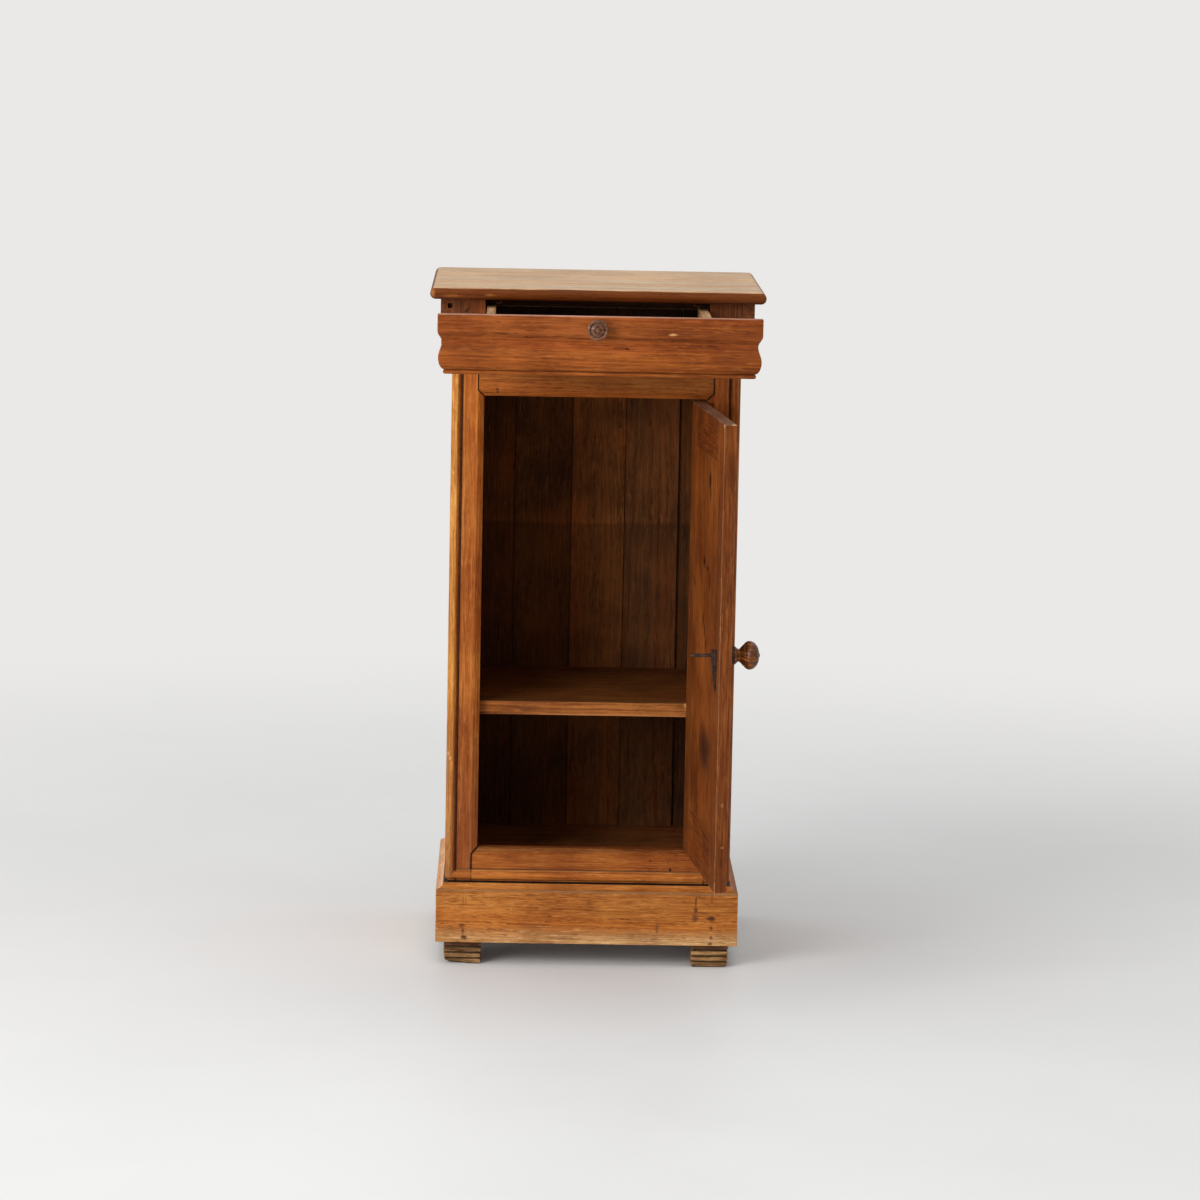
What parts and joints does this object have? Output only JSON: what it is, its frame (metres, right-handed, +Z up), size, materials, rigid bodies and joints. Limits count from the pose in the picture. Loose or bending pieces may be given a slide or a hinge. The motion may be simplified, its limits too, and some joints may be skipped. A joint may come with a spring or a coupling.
{
  "type": "nightstand",
  "caption": "Tall narrow bedside cupboard in oak: moulded top, ogee drawer, inset right-hung door with turn latch, shelf, coved plinth and reeded block feet.",
  "frame": {"origin": "floor level, under the middle of the top board's width and depth", "axes": "+X to the right as seen from the front, +Y from the front to the back, +Z up; the door and the drawer open towards -Y"},
  "size_m": [0.388, 0.5544, 0.8],
  "materials": {
    "top_board": "pale tan oak top, worn waxed finish with grey-pink streaks, its moulded nose browner",
    "case_oak": "orange-brown oak, old wax over stain, dark pores and rubbed edges",
    "drawer_front_oak": "orange-brown oak, moulded, pale along the worn top edge",
    "door_oak": "reddish-brown oak, old wax over stain",
    "inner_wood": "plain planed wood darkened by age",
    "back_wood": "rough planed boards, dark brown with an old damp mark",
    "secondary_wood": "plain planed softwood, unfinished",
    "drawer_box_wood": "plain planed pale wood, unfinished",
    "turned_wood": "turned hardwood, dark red-brown and polished",
    "hinge_iron": "aged dark steel",
    "screw_steel": "aged steel, slotted heads",
    "dark_iron": "forged iron, nearly black"
  },
  "bodies": {
    "case": {"top_board_front": "top_board", "top_board_rear": "top_board", "front_post_left": "case_oak", "front_post_right": "case_oak", "rear_post_left": "case_oak", "rear_post_right": "case_oak", "side_panel_left": "case_oak", "side_panel_right": "case_oak", "upper_rail": "case_oak", "bottom_rail": "case_oak", "frieze_left": "case_oak", "frieze_right": "case_oak", "plinth_front": "case_oak", "plinth_left": "case_oak", "plinth_right": "case_oak", "foot_front_left": "case_oak", "foot_front_right": "case_oak", "foot_rear_left": "case_oak", "foot_rear_right": "case_oak", "rear_top_rail": "back_wood", "rear_bottom_rail": "back_wood", "back_board_1": "back_wood", "back_board_2": "back_wood", "back_board_3": "back_wood", "back_board_4": "back_wood", "back_board_5": "back_wood", "cupboard_floor": "inner_wood", "shelf": "inner_wood", "corner_blocks": "secondary_wood", "floor_cleats": "secondary_wood", "shelf_cleat_left": "secondary_wood", "shelf_cleat_right": "secondary_wood", "drawer_runner_left": "secondary_wood", "drawer_runner_right": "secondary_wood", "drawer_guide_left": "secondary_wood", "drawer_guide_right": "secondary_wood", "drawer_kicker_left": "secondary_wood", "drawer_kicker_right": "secondary_wood", "hinge_frame_leaves": "hinge_iron", "hinge_pins": "hinge_iron", "hinge_frame_screws": "screw_steel", "back_nails": "dark_iron"},
    "drawer": {"drawer_front": "drawer_front_oak", "drawer_side_left": "drawer_box_wood", "drawer_side_right": "drawer_box_wood", "drawer_back": "drawer_box_wood", "drawer_bottom": "drawer_box_wood", "drawer_knob": "turned_wood"},
    "door": {"door_stile_hinge": "door_oak", "door_stile_latch": "door_oak", "door_rail_top": "door_oak", "door_rail_bottom": "door_oak", "door_panel": "door_oak", "hinge_door_leaves": "hinge_iron", "hinge_door_screws": "screw_steel", "knob_rosette": "dark_iron"},
    "latch": {"door_knob": "turned_wood", "latch_spindle": "dark_iron", "latch_arm": "dark_iron"}
  },
  "joints": [
    {"name": "drawer_slide", "type": "slide", "parent": "case", "child": "drawer", "axis": [0, -1, 0], "range_m": [-0.188, 0.042]},
    {"name": "door_hinge", "type": "hinge", "parent": "case", "child": "door", "pos_m": [0.129, -0.134, 0.4055], "axis": [0, 0, 1], "range_deg": [-96, 74]},
    {"name": "latch_turn", "type": "hinge", "parent": "door", "child": "latch", "pos_m": [0.1433, -0.36577, 0.408], "axis": [-0.9945, -0.1045, 0], "continuous": true}
  ]
}
